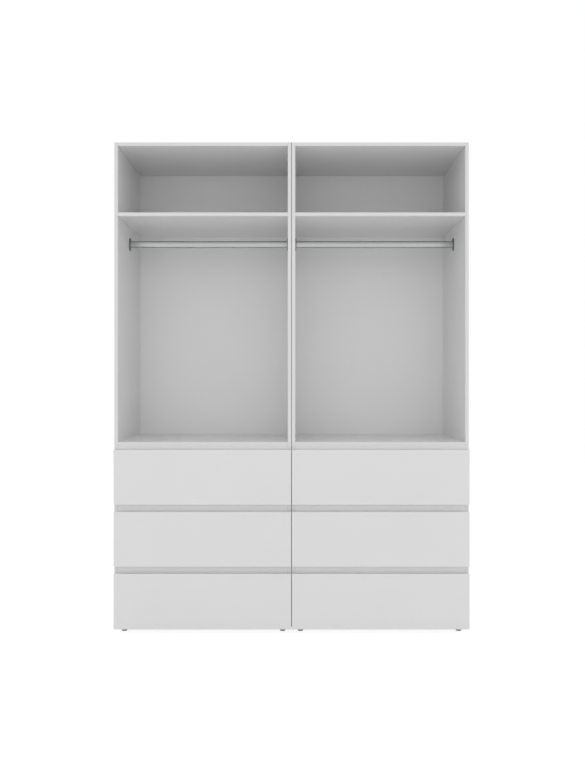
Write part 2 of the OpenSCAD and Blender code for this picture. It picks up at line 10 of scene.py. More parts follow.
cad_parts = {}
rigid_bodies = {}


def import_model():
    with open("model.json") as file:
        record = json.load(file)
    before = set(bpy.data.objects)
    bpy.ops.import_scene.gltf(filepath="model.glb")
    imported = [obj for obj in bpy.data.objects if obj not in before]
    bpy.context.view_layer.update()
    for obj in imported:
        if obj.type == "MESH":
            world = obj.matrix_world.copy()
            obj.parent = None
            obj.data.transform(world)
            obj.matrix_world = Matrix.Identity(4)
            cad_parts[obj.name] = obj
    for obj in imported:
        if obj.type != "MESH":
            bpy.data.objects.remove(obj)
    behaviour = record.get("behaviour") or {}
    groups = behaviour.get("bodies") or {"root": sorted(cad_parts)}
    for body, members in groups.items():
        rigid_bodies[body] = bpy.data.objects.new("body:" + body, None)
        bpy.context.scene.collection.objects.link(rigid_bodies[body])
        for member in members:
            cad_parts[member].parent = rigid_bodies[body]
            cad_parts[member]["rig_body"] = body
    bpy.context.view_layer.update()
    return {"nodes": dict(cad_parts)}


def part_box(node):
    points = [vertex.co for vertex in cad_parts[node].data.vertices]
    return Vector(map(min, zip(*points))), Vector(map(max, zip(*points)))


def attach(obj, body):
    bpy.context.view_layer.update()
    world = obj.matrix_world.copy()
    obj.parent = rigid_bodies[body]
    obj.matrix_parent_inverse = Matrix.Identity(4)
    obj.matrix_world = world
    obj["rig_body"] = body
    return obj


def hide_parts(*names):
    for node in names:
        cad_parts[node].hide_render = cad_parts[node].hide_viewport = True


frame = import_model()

cadNodes = frame["nodes"]
moduleSides = ("left", "right")
drawerLevels = ("upper", "middle", "lower")
footCorners = ("front_outer", "front_inner", "rear_outer", "rear_inner")
print("frame loaded,", len(cadNodes), "nodes")


# Camera

cameraLook = {
    "place": (0.0040, -3.911, 1.070),
    "lens": 40.6,
    "sensor": 36.0,
    "clipEnd": 60.0,
}


def addObject(name, data):
    thing = bpy.data.objects.new(name, data)
    bpy.context.scene.collection.objects.link(thing)
    return thing


def addCamera(look):
    data = bpy.data.cameras.new("camera")
    data.lens, data.sensor_width, data.clip_end = look["lens"], look["sensor"], look["clipEnd"]
    camera = addObject("camera", data)
    camera.location = look["place"]
    camera.rotation_euler = (math.radians(90), 0, 0)  # level, looking along +Y
    bpy.context.scene.camera = camera


addCamera(cameraLook)
print("camera placed")


# Shader nodes: small helpers, then the effects that several finishes share

def feed(tree, socket, value):
    # links another node's socket, or sets a plain value
    if isinstance(value, bpy.types.NodeSocket):
        tree.links.new(value, socket)
    else:
        socket.default_value = value


def addNode(tree, kind, settings=None, **inputs):
    node = tree.nodes.new(kind)
    for key, value in (settings or {}).items():
        setattr(node, key, value)
    for key, value in inputs.items():
        feed(tree, node.inputs[key], value)
    return node


def calculate(tree, operation, *values, kind="ShaderNodeMath"):
    node = addNode(tree, kind, {"operation": operation})
    for socket, value in zip(node.inputs, values):
        feed(tree, socket, value)
    return node.outputs[0]


def blend(tree, first, second, firstShare):
    # a weighted sum of two masks
    return calculate(tree, "ADD", calculate(tree, "MULTIPLY", first, firstShare),
                     calculate(tree, "MULTIPLY", second, 1 - firstShare))


def mapRange(tree, value, low, high, span=(0.3, 0.7)):
    # a noise hardly leaves 0.3 to 0.7, so that span is stretched over low to high
    return addNode(tree, "ShaderNodeMapRange", Value=value, **{
        "From Min": span[0], "From Max": span[1], "To Min": low, "To Max": high}).outputs["Result"]


def mixColour(tree, mask, first, second):
    node = addNode(tree, "ShaderNodeMix", {"data_type": "RGBA"})
    for index, value in ((0, mask), (6, first), (7, second)):  # the factor and the two colours
        feed(tree, node.inputs[index], value)
    return node.outputs[2]


def stretched(tree, vector, scale):
    return addNode(tree, "ShaderNodeMapping", Vector=vector, Scale=scale).outputs["Vector"]


def noise(tree, vector, scale, detail=2.0, roughness=0.5):
    return addNode(tree, "ShaderNodeTexNoise", Vector=vector, Scale=scale, Detail=detail,
                   Roughness=roughness).outputs["Fac"]


def cellTone(tree, cells, channel):
    # a value that changes from cell to cell
    split = addNode(tree, "ShaderNodeSeparateColor", Color=cells.outputs["Color"])
    return split.outputs[channel]


def newGroup(name, inputs, outputs):
    # each input is a label, a kind and a value, each output a label and a kind
    group = bpy.data.node_groups.new(name, "ShaderNodeTree")
    for label, kind, value in inputs:
        socket = group.interface.new_socket(label, in_out="INPUT", socket_type="NodeSocket" + kind)
        if value is not None:
            socket.default_value = value
    for label, kind in outputs:
        group.interface.new_socket(label, in_out="OUTPUT", socket_type="NodeSocket" + kind)
    given = group.nodes.new("NodeGroupInput").outputs
    return group, given, group.nodes.new("NodeGroupOutput").inputs


def grey(level, warm=0.0):
    return (level + warm, level, level - warm, 1.0)


def makeSmudges():
    # soft patches left by hands and cloths, as a value between Low and High
    group, given, out = newGroup(
        "smudges",
        [("Vector", "Vector", None), ("Scale", "Float", 3.0), ("Low", "Float", 0.35),
         ("High", "Float", 0.45)],
        [("Value", "Float")])
    patches = noise(group, given["Vector"], given["Scale"], detail=4.0, roughness=0.6)
    streaks = noise(group, stretched(group, given["Vector"], (9.0, 9.0, 2.0)), 4.0)
    both = blend(group, patches, streaks, 0.7)
    feed(group, out["Value"], mapRange(group, both, given["Low"], given["High"], (0.32, 0.68)))
    return group


def makeFineTexture():
    # the pearl of pressed melamine or moulded plastic, as a normal
    group, given, out = newGroup(
        "fine texture",
        [("Vector", "Vector", None), ("Scale", "Float", 900.0), ("Strength", "Float", 0.15),
         ("Depth", "Float", 0.00003)],
        [("Normal", "Vector")])
    pearl = noise(group, given["Vector"], given["Scale"], detail=3.0, roughness=0.55)
    waveScale = calculate(group, "MULTIPLY", given["Scale"], 0.04)
    wave = noise(group, given["Vector"], waveScale, detail=1.0)
    bump = addNode(group, "ShaderNodeBump", Strength=given["Strength"], Distance=given["Depth"],
                   Height=blend(group, pearl, wave, 0.75))
    feed(group, out["Normal"], bump.outputs["Normal"])
    return group


def makeChipboard():
    # the pressed chips of a board's core: short flakes in several browns with dark gaps
    group, given, out = newGroup(
        "chipboard core",
        [("Vector", "Vector", None), ("Scale", "Float", 420.0),
         ("Light", "Color", (0.60, 0.45, 0.28, 1)), ("Dark", "Color", (0.28, 0.18, 0.10, 1))],
        [("Color", "Color"), ("Height", "Float")])
    drift = addNode(group, "ShaderNodeTexNoise", Vector=given["Vector"], Scale=160.0, Detail=2.0)
    moved = calculate(group, "MULTIPLY_ADD", drift.outputs["Color"], (0.006, 0.006, 0.002),
                      given["Vector"], kind="ShaderNodeVectorMath")
    flakes = addNode(group, "ShaderNodeTexVoronoi", Vector=stretched(group, moved, (0.7, 0.7, 0.7)),
                     Scale=given["Scale"])
    gaps = mapRange(group, flakes.outputs["Distance"], 1.0, 0.55, (0.25, 0.75))
    brown = calculate(group, "MULTIPLY", cellTone(group, flakes, "Red"), gaps)
    feed(group, out["Color"], mixColour(group, brown, given["Dark"], given["Light"]))
    feed(group, out["Height"], gaps)
    return group


def makeBrushing():
    # fine drawn lines along one axis of metal, as a value between Low and High
    group, given, out = newGroup(
        "brushing",
        [("Vector", "Vector", None), ("Stretch", "Vector", (0.02, 1.0, 1.0)),
         ("Scale", "Float", 1500.0), ("Low", "Float", 0.2), ("High", "Float", 0.35)],
        [("Value", "Float"), ("Height", "Float")])
    drawn = calculate(group, "MULTIPLY", given["Vector"], given["Stretch"],
                      kind="ShaderNodeVectorMath")
    lines = noise(group, drawn, given["Scale"], detail=3.0, roughness=0.6)
    feed(group, out["Value"], mapRange(group, lines, given["Low"], given["High"]))
    feed(group, out["Height"], lines)
    return group


def makePlatingPatches():
    # the cloudy crystals of zinc plating: a tone that changes from patch to patch
    group, given, out = newGroup(
        "plating patches",
        [("Vector", "Vector", None), ("Scale", "Float", 260.0), ("Bright", "Color", grey(0.62)),
         ("Dull", "Color", grey(0.46))],
        [("Color", "Color")])
    crystals = addNode(group, "ShaderNodeTexVoronoi", Vector=given["Vector"], Scale=given["Scale"])
    cloud = noise(group, given["Vector"], 45.0, detail=4.0, roughness=0.65)
    patches = blend(group, cellTone(group, crystals, "Green"), cloud, 0.35)
    feed(group, out["Color"], mixColour(group, patches, given["Dull"], given["Bright"]))
    return group


sharedEffects = {
    "smudges": makeSmudges(),
    "fineTexture": makeFineTexture(),
    "chipboard": makeChipboard(),
    "brushing": makeBrushing(),
    "plating": makePlatingPatches(),
}


def placeEffect(tree, name, **inputs):
    return addNode(tree, "ShaderNodeGroup", {"node_tree": sharedEffects[name]}, **inputs).outputs


print("shared effects built,", len(sharedEffects))


# Finishes

def newFinish(name, **sockets):
    material = bpy.data.materials.new(name)
    material.use_nodes = True
    tree = material.node_tree
    tree.nodes.clear()
    output = tree.nodes.new("ShaderNodeOutputMaterial")
    shader = tree.nodes.new("ShaderNodeBsdfPrincipled")
    tree.links.new(shader.outputs["BSDF"], output.inputs["Surface"])
    for label, value in sockets.items():
        shader.inputs[label.replace("_", " ")].default_value = value
    place = tree.nodes.new("ShaderNodeTexCoord").outputs["Object"]
    return material, tree, shader.inputs, place


def tonesOf(look, warm=0.0):
    level, contrast = look["level"], look["contrast"]
    return grey(level - contrast, warm), grey(level + contrast, warm)


def setColour(tree, surface, mask, dark, light):
    mask = mapRange(tree, mask, 0.0, 1.0)
    feed(tree, surface["Base Color"], mixColour(tree, mask, dark, light))


def setSheen(tree, surface, place, scale, roughness):
    # rubbed and dull patches between the two roughnesses
    rubbed = placeEffect(tree, "smudges", Vector=place, Scale=scale, Low=roughness[0],
                         High=roughness[1])
    feed(tree, surface["Roughness"], rubbed["Value"])


def setTexture(tree, surface, place, look):
    pearl = placeEffect(tree, "fineTexture", Vector=place, Scale=look["texture"],
                        Strength=look["strength"], Depth=look["depth"])
    feed(tree, surface["Normal"], pearl["Normal"])


def setRelief(tree, surface, height, look):
    bump = addNode(tree, "ShaderNodeBump", Strength=look["strength"], Distance=look["depth"],
                   Height=height)
    feed(tree, surface["Normal"], bump.outputs["Normal"])


def makeWhiteFinish(look):
    # white foil or melamine: faint clouds of tone, a pressed pearl texture, patches of sheen
    material, tree, surface, place = newFinish(look["name"])
    clouds = noise(tree, place, 2.3, detail=3.0, roughness=0.55)
    specks = noise(tree, place, 1400.0, detail=1.0)
    setColour(tree, surface, blend(tree, clouds, specks, 0.7), *tonesOf(look))
    setSheen(tree, surface, place, 2.6, look["roughness"])
    setTexture(tree, surface, place, look)
    return material


def makeCoreFinish(look):
    material, tree, surface, place = newFinish(look["name"])
    chips = placeEffect(tree, "chipboard", Vector=place)
    feed(tree, surface["Base Color"], chips["Color"])
    setRelief(tree, surface, chips["Height"], look)
    setSheen(tree, surface, place, 30.0, look["roughness"])
    return material


def makeHardboardFinish(look):
    # the brown rear face of the back panels: matted fibres with a pressed screen
    material, tree, surface, place = newFinish(look["name"])
    matted = stretched(tree, place, (1.0, 1.0, 0.35))
    fibres = noise(tree, matted, 700.0, detail=5.0, roughness=0.7)
    patches = noise(tree, place, 11.0, detail=4.0, roughness=0.6)
    setColour(tree, surface, blend(tree, fibres, patches, 0.82), look["dark"], look["light"])
    bands = {"wave_type": "BANDS", "bands_direction": "DIAGONAL"}
    screen = addNode(tree, "ShaderNodeTexWave", bands, Vector=place, Scale=140.0, Distortion=0.6)
    pressed = calculate(tree, "MULTIPLY", screen.outputs["Fac"], 0.4)
    setRelief(tree, surface, calculate(tree, "ADD", pressed, fibres), look)
    feed(tree, surface["Roughness"], mapRange(tree, fibres, *look["roughness"]))
    return material


def makeMetalFinish(look):
    # plated metal drawn along one axis; rim is how much it still mirrors where it turns away
    material, tree, surface, place = newFinish(look["name"], Metallic=1.0,
                                               Specular_Tint=grey(look["rim"]))
    dull, bright = tonesOf(look, -0.004)
    tone = placeEffect(tree, "plating", Vector=place, Bright=bright, Dull=dull)
    feed(tree, surface["Base Color"], tone["Color"])
    low, high = look["roughness"]
    drawn = placeEffect(tree, "brushing", Vector=place, Stretch=look["stretch"],
                        Scale=look["lines"], Low=low, High=high)
    feed(tree, surface["Roughness"], drawn["Value"])
    setRelief(tree, surface, drawn["Height"], look)
    return material


def makePlasticFinish(look):
    material, tree, surface, place = newFinish(look["name"], Transmission_Weight=look["clear"])
    clouds = noise(tree, place, 55.0, detail=3.0, roughness=0.6)
    setColour(tree, surface, clouds, *tonesOf(look, look["warm"]))
    setSheen(tree, surface, place, 40.0, look["roughness"])
    setTexture(tree, surface, place, look)
    return material


def makeFeltPaintedShadeFinish(look):
    # felt whose near-black colour is painted shade, standing in for the shade in the narrow gap
    # between the modules
    material, tree, surface, place = newFinish(look["name"], Sheen_Weight=look["fuzz"])
    fibres = noise(tree, place, 1800.0, detail=5.0, roughness=0.75)
    setColour(tree, surface, fibres, look["dark"], look["light"])
    setRelief(tree, surface, fibres, look)
    feed(tree, surface["Roughness"], mapRange(tree, fibres, *look["roughness"]))
    return material


def makeBeechFinish(look):
    material, tree, surface, place = newFinish(look["name"])
    grain = noise(tree, stretched(tree, place, (0.08, 1.0, 1.0)), 1600.0, detail=4.0, roughness=0.6)
    flecks = noise(tree, stretched(tree, place, (0.3, 1.0, 1.0)), 3200.0, detail=1.0)
    setColour(tree, surface, blend(tree, grain, flecks, 0.7), look["dark"], look["light"])
    setRelief(tree, surface, grain, look)
    feed(tree, surface["Roughness"], mapRange(tree, grain, *look["roughness"]))
    return material


finishLook = {  # level is a grey, contrast how far its tones go to both sides
    "board": {"name": "whiteMelamine", "level": 0.79, "contrast": 0.012,
              "roughness": (0.34, 0.44), "texture": 900.0, "strength": 0.12, "depth": 0.00003},
    "band": {"name": "edgeBand", "level": 0.76, "contrast": 0.012,
             "roughness": (0.30, 0.38), "texture": 600.0, "strength": 0.08, "depth": 0.00003},
    "back": {"name": "backLacquer", "level": 0.845, "contrast": 0.012,
             "roughness": (0.38, 0.50), "texture": 500.0, "strength": 0.20, "depth": 0.00003},
    "drawer": {"name": "drawerFoil", "level": 0.77, "contrast": 0.012,
               "roughness": (0.42, 0.52), "texture": 700.0, "strength": 0.18, "depth": 0.00003},
    "core": {"name": "rawChipboard", "roughness": (0.78, 0.92), "strength": 0.5, "depth": 0.0003},
    "hardboard": {"name": "hardboardRear", "dark": (0.20, 0.115, 0.055, 1),
                  "light": (0.36, 0.225, 0.12, 1), "roughness": (0.62, 0.80),
                  "strength": 0.35, "depth": 0.0002},
    "chrome": {"name": "chromedTube", "level": 0.45, "contrast": 0.02, "roughness": (0.20, 0.28),
               "rim": 0.2, "stretch": (0.02, 1.0, 1.0), "lines": 1500.0,
               "strength": 0.2, "depth": 0.00001},
    "socket": {"name": "satinNickel", "level": 0.19, "contrast": 0.03, "roughness": (0.30, 0.42),
               "rim": 1.0, "stretch": (1.0, 1.0, 1.0), "lines": 1500.0,
               "strength": 0.2, "depth": 0.00001},
    "runner": {"name": "runnerZinc", "level": 0.55, "contrast": 0.05, "roughness": (0.24, 0.36),
               "rim": 1.0, "stretch": (1.0, 0.02, 1.0), "lines": 1500.0,
               "strength": 0.2, "depth": 0.00001},
    "zinc": {"name": "fittingZinc", "level": 0.50, "contrast": 0.06, "roughness": (0.28, 0.42),
             "rim": 1.0, "stretch": (1.0, 1.0, 1.0), "lines": 900.0,
             "strength": 0.2, "depth": 0.00002},
    "bracket": {"name": "whitePowderCoat", "level": 0.69, "contrast": 0.03, "warm": 0.0,
                "roughness": (0.42, 0.52), "clear": 0.0,
                "texture": 1500.0, "strength": 0.35, "depth": 0.00006},
    "foot": {"name": "greyMouldedPlastic", "level": 0.27, "contrast": 0.02, "warm": 0.0,
             "roughness": (0.42, 0.55), "clear": 0.0,
             "texture": 1200.0, "strength": 0.30, "depth": 0.00006},
    "buffer": {"name": "softBuffer", "level": 0.65, "contrast": 0.04, "warm": -0.01,
               "roughness": (0.22, 0.32), "clear": 0.5,
               "texture": 800.0, "strength": 0.10, "depth": 0.00006},
    "beech": {"name": "beech", "dark": (0.50, 0.31, 0.16, 1), "light": (0.74, 0.53, 0.32, 1),
              "roughness": (0.55, 0.70), "strength": 0.3, "depth": 0.0001},
    # the felt's near-black tones are painted shade for the dark gap between the modules
    "felt": {"name": "greyFelt", "dark": grey(0.018), "light": grey(0.045), "fuzz": 0.15,
             "roughness": (0.85, 0.97), "strength": 0.7, "depth": 0.0003},
}
finishMakers = {
    makeWhiteFinish: ("board", "band", "back", "drawer"),
    makeCoreFinish: ("core",),
    makeHardboardFinish: ("hardboard",),
    makeMetalFinish: ("chrome", "socket", "runner", "zinc"),
    makePlasticFinish: ("bracket", "foot", "buffer"),
    makeBeechFinish: ("beech",),
    makeFeltPaintedShadeFinish: ("felt",),
}
finishes = {key: make(finishLook[key]) for make, keys in finishMakers.items() for key in keys}
print("finishes built,", len(finishes))


# Shaping helpers

weldDistance = 0.00001  # joins the construction's loose triangles
seamDistance = 0.000001  # joins the seams and poles of turned shapes
samePlane = 0.3  # degrees within which triangles make one flat face
endDepth = 0.0002  # how near its end plane a point of a solid belongs to that end


def meshOf(shape, name):
    # a mesh from the shape, which is used up
    mesh = bpy.data.meshes.new(name)
    shape.to_mesh(mesh)
    shape.free()
    return mesh


def addShape(shape, other):
    # adds the other shape, which is used up
    mesh = meshOf(other, "spare")
    shape.from_mesh(mesh)
    bpy.data.meshes.remove(mesh)


def mergedCopy(nodeName):
    # the construction's triangles welded and joined back into flat faces
    shape = bmesh.new()
    shape.from_mesh(cadNodes[nodeName].data)
    bmesh.ops.remove_doubles(shape, verts=shape.verts, dist=weldDistance)
    bmesh.ops.dissolve_limit(shape, angle_limit=math.radians(samePlane), verts=shape.verts,
                             edges=shape.edges)
    shape.normal_update()
    return shape


def separateSolids(shape):
    # the vertices of each closed solid in a mesh
    seen, solids = set(), []
    for start in shape.verts:
        if start in seen:
            continue
        seen.add(start)
        group, waiting = [], [start]
        while waiting:
            vertex = waiting.pop()
            group.append(vertex)
            for edge in vertex.link_edges:
                other = edge.other_vert(vertex)
                if other not in seen:
                    seen.add(other)
                    waiting.append(other)
        solids.append(group)
    return solids


def boxOf(vertices):
    low = Vector([min(v.co[i] for v in vertices) for i in range(3)])
    high = Vector([max(v.co[i] for v in vertices) for i in range(3)])
    return low, high


def bevelEdges(shape, edges, width, segments):
    bmesh.ops.bevel(shape, geom=edges, offset=width, offset_type="OFFSET", segments=segments,
                    profile=0.5, affect="EDGES", clamp_overlap=True, material=-1)


def roundEdges(shape, look):
    # rounds the outward edges that are long enough and sharp enough
    edges = [e for e in shape.edges
             if len(e.link_faces) == 2 and e.is_convex and e.calc_length() >= look["shortestEdge"]
             and math.degrees(e.calc_face_angle(0.0)) >= look["leastAngle"]]
    if edges:
        bevelEdges(shape, edges, look["round"], look["segments"])
    shape.normal_update()


def bodyOf(nodeName):
    return cadNodes[nodeName]["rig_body"]


def finishPiece(shape, nodeName, ending, surfaces, smoothAngle=24.0, flatArea=0.0004):
    # turns the shape into the piece that stands for a node of the construction
    mesh = meshOf(shape, nodeName + ending)
    for surface in surfaces:
        mesh.materials.append(finishes[surface])
    mesh.polygons.foreach_set("use_smooth", [True] * len(mesh.polygons))
    mesh.set_sharp_from_angle(angle=math.radians(smoothAngle))
    for polygon in mesh.polygons:  # a broad flat face keeps its own normal up to its edges
        if polygon.area > flatArea:
            for corner in polygon.loop_indices:
                mesh.edges[mesh.loops[corner].edge_index].use_edge_sharp = True
    piece = addObject(nodeName + ending, mesh)
    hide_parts(nodeName)
    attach(piece, bodyOf(nodeName))


def dressRounded(nodeName, ending, surface, look, smoothAngle=24.0):
    # the construction's own shape with its sharp edges rounded
    shape = mergedCopy(nodeName)
    roundEdges(shape, look)
    finishPiece(shape, nodeName, ending, (surface,), smoothAngle)


# Boards

boardLook = {
    "round": 0.0008,
    "segments": 2,
    "shortestEdge": 0.03,  # the edges of bores stay sharp
    "leastAngle": 25.0,
}
boardSmoothAngle = 20.0
skinDepth = 0.0014  # faces this near the outside of a board belong to its skin
leaning = 0.3  # least part of an axis in the normal of a face that looks along it
facing = 0.6  # the same for a face that looks mainly along it


def paintBoards(shape, bandedSides, thicknessAxis=None):
    # 0 is the face foil, 1 the edge band, 2 the open core of raw edges, bores and grooves
    for solid in separateSolids(shape):
        low, high = boxOf(solid)
        size = high - low
        across = min(range(3), key=lambda i: size[i]) if thicknessAxis is None else thicknessAxis
        for face in {f for v in solid for f in v.link_faces}:
            middle, normal = face.calc_center_median(), face.normal
            onSkin = any(middle[i] - low[i] < skinDepth and normal[i] < -leaning or
                         high[i] - middle[i] < skinDepth and normal[i] > leaning
                         for i in range(3))
            if not onSkin:
                face.material_index = 2
            elif abs(normal[across]) > facing:
                face.material_index = 0
            else:
                side = max((i for i in range(3) if i != across), key=lambda i: abs(normal[i]))
                named = ("-" if normal[side] < 0 else "+") + "XYZ"[side]
                face.material_index = 1 if named in bandedSides else 2


def dressBoard(nodeName, bandedSides, look, surfaces=("board", "band", "core")):
    shape = mergedCopy(nodeName)
    roundEdges(shape, look)
    paintBoards(shape, bandedSides)
    finishPiece(shape, nodeName, "_dressed", surfaces, boardSmoothAngle)


for side in moduleSides:
    for panel in ("outer_side", "inner_side"):
        dressBoard(f"{side}_{panel}", ("-Y", "+Z"), boardLook)
    for panel in ("top_panel", "shelf", "deck", "base_panel"):
        dressBoard(f"{side}_{panel}", ("-Y",), boardLook)
dressBoard("front_rails", ("-Z", "+Z"), boardLook)
print("boards dressed")


# Back panels: white lacquer in front, brown hardboard behind and in the edges

backLook = {
    "round": 0.0003,
    "segments": 1,
    "shortestEdge": 0.03,
    "leastAngle": 25.0,
}


def dressBackPanel(nodeName, look):
    shape = mergedCopy(nodeName)
    roundEdges(shape, look)
    for face in shape.faces:
        face.material_index = 0 if face.normal.y < -facing else 1
    finishPiece(shape, nodeName, "_dressed", ("back", "hardboard"), boardSmoothAngle)


for side in moduleSides:
    dressBackPanel(f"{side}_back_panel", backLook)
print("back panels dressed")


# Drawer fronts and drawer boxes

frontLook = {
    "round": 0.0012,
    "segments": 3,
    "shortestEdge": 0.03,
    "leastAngle": 20.0,
    "slopeArea": 0.001,
}
boxLook = {
    "round": 0.0006,
    "segments": 2,
    "shortestEdge": 0.03,
    "leastAngle": 25.0,
}


def dressDrawerFront(nodeName, look):
    shape = mergedCopy(nodeName)
    roundEdges(shape, look)
    paintBoards(shape, ("-X", "+X", "-Z", "+Z"), 1)
    for face in shape.faces:  # the finger slope is foiled like the face
        if min(face.normal.y, face.normal.z) > leaning and face.calc_area() > look["slopeArea"]:
            face.material_index = 0
    finishPiece(shape, nodeName, "_dressed", ("board", "band", "core"), boardSmoothAngle)


for side in moduleSides:
    for level in drawerLevels:
        dressDrawerFront(f"{side}_{level}_drawer_front", frontLook)
        dressBoard(f"{side}_{level}_drawer_box", ("-Y", "+Y", "+Z"), boxLook,
                   ("drawer", "drawer", "core"))
print("drawers dressed")


# Turned and repeated parts

def spunShape(profile, steps):
    # turns (radius, height) points around the Z axis
    shape = bmesh.new()
    points = [shape.verts.new((radius, 0, height)) for radius, height in profile]
    lines = [shape.edges.new(pair) for pair in zip(points, points[1:])]
    bmesh.ops.spin(shape, geom=points + lines, cent=(0, 0, 0), axis=(0, 0, 1), angle=math.tau,
                   steps=steps, use_merge=True)
    bmesh.ops.remove_doubles(shape, verts=shape.verts, dist=seamDistance)
    bmesh.ops.recalc_face_normals(shape, faces=shape.faces)
    return shape


def ridges(low, high, count, root, crest):
    # a thread's rings as profile points from low to high: up a flank, over the crest and down
    pitch = (high - low) / count
    ring = ((root, 0.1), (crest, 0.45), (crest, 0.55), (root, 0.9))
    return [(radius, low + turn * pitch + share * pitch)
            for turn in range(count) for radius, share in ring]


def cutCross(shape, cross):
    # sinks a tapered cross into a head whose top lies at z = 0
    width, length, depth = cross
    head = addObject("cross_head", meshOf(shape, "cross_head"))
    bars = []
    for turn in (45, 135):
        bar = bmesh.new()
        bmesh.ops.create_cube(bar, size=1.0)
        bmesh.ops.scale(bar, vec=(length, width, 2 * depth), verts=bar.verts)
        bmesh.ops.scale(bar, vec=(0.45, 0.7, 1.0), verts=[v for v in bar.verts if v.co.z < 0])
        bmesh.ops.rotate(bar, cent=(0, 0, 0), matrix=Matrix.Rotation(math.radians(turn), 3, "Z"),
                         verts=bar.verts)
        bars.append(addObject("cross_bar", meshOf(bar, "cross_bar")))
        cut = head.modifiers.new("cross", "BOOLEAN")
        cut.operation, cut.solver, cut.object = "DIFFERENCE", "EXACT", bars[-1]
    result = bmesh.new()
    shown = head.evaluated_get(bpy.context.evaluated_depsgraph_get())
    result.from_mesh(shown.to_mesh())
    shown.to_mesh_clear()
    for spare in bars + [head]:
        spareMesh = spare.data
        bpy.data.objects.remove(spare)
        bpy.data.meshes.remove(spareMesh)
    return result


def solidPlaces(shape, axisRule=max):
    # where each solid of a node sits: its wide end, the way that end looks, its sizes
    places = []
    for solid in separateSolids(shape):
        low, high = boxOf(solid)
        size = high - low
        axis = axisRule(range(3), key=lambda i: size[i])
        middle = (low + high) / 2
        reach = [0.0, 0.0]
        for vertex in solid:
            away = vertex.co - middle
            away[axis] = 0
            for end, plane in enumerate((low[axis], high[axis])):
                if abs(vertex.co[axis] - plane) < endDepth:
                    reach[end] = max(reach[end], away.length)
        wide = 1 if reach[1] >= reach[0] else 0
        way = Vector((0, 0, 0))
        way[axis] = 1.0 if wide else -1.0
        seat = middle.copy()
        seat[axis] = (low, high)[wide][axis]
        places.append({"seat": seat, "way": way, "axis": axis, "middle": middle, "low": low,
                       "length": size[axis], "width": max(size[i] for i in range(3) if i != axis),
                       "narrow": reach[1 - wide], "solid": solid})
    return places


def placesOf(nodeName, axisRule=max):
    # the places alone, where the construction's own solids aren't used
    source = mergedCopy(nodeName)
    places = solidPlaces(source, axisRule)
    source.free()
    return places


def addCopies(shape, master, places):
    # puts a copy of the master, which is used up, at every place: its top lies at z = 0 and
    # looks along +Z
    mesh = meshOf(master, "master")
    for place in places:
        turn = place["way"].to_track_quat("Z", "Y").to_matrix().to_4x4()
        copy = mesh.copy()
        copy.transform(Matrix.Translation(place["seat"]) @ turn)
        shape.from_mesh(copy)
        bpy.data.meshes.remove(copy)
    bpy.data.meshes.remove(mesh)


def dressCopies(nodeName, ending, surface, master, places, smoothAngle=24.0):
    shape = bmesh.new()
    addCopies(shape, master, places)
    finishPiece(shape, nodeName, ending, (surface,), smoothAngle)


# Hanging rails and their sockets

railLook = {
    "wall": 0.001,
    "roundSteps": 48,
    "smoothAngle": 30.0,
}
socketLook = {
    "round": 0.0005,
    "segments": 2,
    "shortestEdge": 0.0,
    "leastAngle": 60.0,
}


def dressRail(nodeName, look):
    low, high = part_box(nodeName)
    width, height = high.y - low.y, high.z - low.z
    shape = bmesh.new()
    rings = []
    for radius in (width / 2, width / 2 - look["wall"]):
        ring = bmesh.ops.create_circle(shape, segments=look["roundSteps"], radius=radius)["verts"]
        bmesh.ops.rotate(shape, cent=(0, 0, 0), verts=ring,
                         matrix=Matrix.Rotation(math.pi / look["roundSteps"], 3, "Z"))
        for vertex in ring:  # the round is pulled apart into an oval
            vertex.co.y += math.copysign((height - width) / 2, vertex.co.y)
        rings += [e for e in shape.edges if e.verts[0] in ring and e.verts[1] in ring]
    wallFaces = bmesh.ops.bridge_loops(shape, edges=rings)["faces"]
    tube = bmesh.ops.extrude_face_region(shape, geom=wallFaces, use_keep_orig=True)["geom"]
    far = [v for v in tube if isinstance(v, bmesh.types.BMVert)]
    bmesh.ops.translate(shape, vec=(0, 0, high.x - low.x), verts=far)
    turn = Matrix(((0, 0, 1), (1, 0, 0), (0, 1, 0)))  # local X, Y, Z become Y, Z, X
    bmesh.ops.transform(shape, matrix=turn.to_4x4(), verts=shape.verts)
    bmesh.ops.translate(shape, vec=(low.x, (low.y + high.y) / 2, (low.z + high.z) / 2),
                        verts=shape.verts)
    bmesh.ops.remove_doubles(shape, verts=shape.verts, dist=seamDistance)
    bmesh.ops.recalc_face_normals(shape, faces=shape.faces)
    finishPiece(shape, nodeName, "_tube", ("chrome",), look["smoothAngle"],
                flatArea=1.0)  # the long strips of the round stay smooth


for side in moduleSides:
    dressRail(f"{side}_hanging_rail", railLook)
dressRounded("rail_sockets", "_cast", "socket", socketLook, 30.0)
print("hanging rails dressed")


# Feet and the sleeves they turn in

footLook = {
    "pad": 0.010,
    "padRadius": 0.012,
    "neckRadius": 0.009,
    "neckTop": 0.022,
    "stemRadius": 0.004,
    "stemTop": 0.038,
    "threadTurns": 13,
    "threadDepth": 0.0007,
    "fluteDepth": 0.0005,
    "fluteColumns": 4,  # columns of the round for a flute and its land
    "steps": 48,
}
sleeveLook = {
    "round": 0.0004,
    "segments": 2,
    "shortestEdge": 0.0,
    "leastAngle": 60.0,
}


